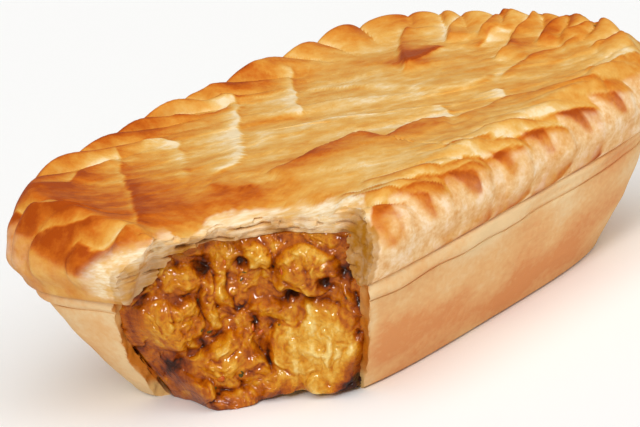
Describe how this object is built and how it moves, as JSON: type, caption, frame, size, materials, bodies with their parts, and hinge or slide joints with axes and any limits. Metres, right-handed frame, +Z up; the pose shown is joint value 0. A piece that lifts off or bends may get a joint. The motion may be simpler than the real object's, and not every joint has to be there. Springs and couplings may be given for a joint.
{
  "type": "balti pie",
  "caption": "Oblong chicken balti pie with a glazed puff lid, a rope-crimped rim and a leaning shortcrust case, one corner eaten away to show the spiced filling.",
  "frame": {"origin": "middle of the pie's bounding box, on the table it stands on", "axes": "+X along the pie, away from the eaten end; +Y across it, away from the eaten side; +Z up"},
  "size_m": [0.14, 0.086, 0.0453],
  "materials": {
    "shortcrust": "baked shortcrust, matte",
    "puff_crust": "egg-washed puff pastry, satin",
    "curry_filling": "wet curry sauce, glossy"
  },
  "bodies": {
    "root": {"pastry_case": "shortcrust", "pastry_lid": "puff_crust", "filling": "curry_filling"}
  },
  "joints": []
}
